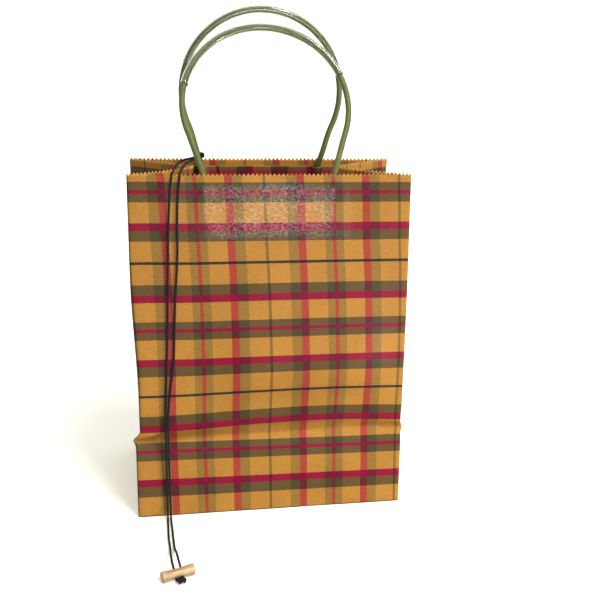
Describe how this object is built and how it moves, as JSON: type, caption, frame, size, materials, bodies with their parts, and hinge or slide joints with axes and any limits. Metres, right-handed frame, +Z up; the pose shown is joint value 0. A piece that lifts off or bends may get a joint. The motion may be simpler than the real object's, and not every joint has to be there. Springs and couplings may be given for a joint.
{
  "type": "gift sack",
  "caption": "Plaid cloth gift sack with inward-folding sides, two cord handles in clear grip sleeves, and a doubled black cord with a wooden toggle.",
  "frame": {"origin": "middle of the base, on the surface the sack stands on", "axes": "+X to the right seen from the front, +Y towards the back, +Z up"},
  "size_m": [0.26, 0.2575, 0.474],
  "materials": {
    "plaid_cloth": "satin",
    "plaid_patch": "matte",
    "grey_board": "matte",
    "handle_cord": "satin",
    "clear_sleeve": "gloss",
    "black_cord": "satin",
    "toggle_wood": "satin"
  },
  "bodies": {
    "sack": {"front_panel": "plaid_cloth", "back_panel": "plaid_cloth", "side_seam_flap": "plaid_cloth", "left_gusset_front": "plaid_cloth", "left_gusset_back": "plaid_cloth", "left_gusset_base": "plaid_cloth", "right_gusset_front": "plaid_cloth", "right_gusset_back": "plaid_cloth", "right_gusset_base": "plaid_cloth", "base_front_flap": "plaid_cloth", "base_back_flap": "plaid_cloth", "base_left_tab": "plaid_cloth", "base_right_tab": "plaid_cloth", "base_board": "grey_board", "front_handle_patch": "plaid_patch", "rear_handle_patch": "plaid_patch", "front_handle_left_end": "handle_cord", "front_handle_right_end": "handle_cord", "rear_handle_left_end": "handle_cord", "rear_handle_right_end": "handle_cord", "cord_hitch": "black_cord", "toggle_cord_left": "black_cord", "toggle_cord_right": "black_cord", "cord_knot": "black_cord"},
    "front_hoop": {"front_handle": "handle_cord"},
    "rear_hoop": {"rear_handle": "handle_cord"},
    "front_grip": {"front_grip_sleeve": "clear_sleeve"},
    "rear_grip": {"rear_grip_sleeve": "clear_sleeve"},
    "toggle_peg": {"toggle": "toggle_wood"}
  },
  "joints": [
    {"name": "front_handle_swing", "type": "hinge", "parent": "sack", "child": "front_hoop", "pos_m": [-0.0024, -0.03974, 0.33364], "axis": [1, 0, 0], "range_deg": [-10, 90], "stiffness_Nm_per_rad": 0.1, "springref_deg": 1.54},
    {"name": "rear_handle_swing", "type": "hinge", "parent": "sack", "child": "rear_hoop", "pos_m": [-0.0017, 0.03905, 0.3396], "axis": [1, 0, 0], "range_deg": [-75, 6], "stiffness_Nm_per_rad": 0.1, "springref_deg": -0.19},
    {"name": "front_grip_slide", "type": "hinge", "parent": "front_hoop", "child": "front_grip", "pos_m": [-0.0024, -0.01129, 0.38647], "axis": [0, 0.8805, -0.4741], "range_deg": [-30, 35]},
    {"name": "rear_grip_slide", "type": "hinge", "parent": "rear_hoop", "child": "rear_grip", "pos_m": [-0.0017, 0.03566, 0.3935], "axis": [0, 0.998, 0.0628], "range_deg": [-40, 35]},
    {"name": "toggle_slide", "type": "slide", "parent": "sack", "child": "toggle_peg", "axis": [-0.2259, 0.708, 0.6691], "range_m": [0, 0.005]}
  ]
}
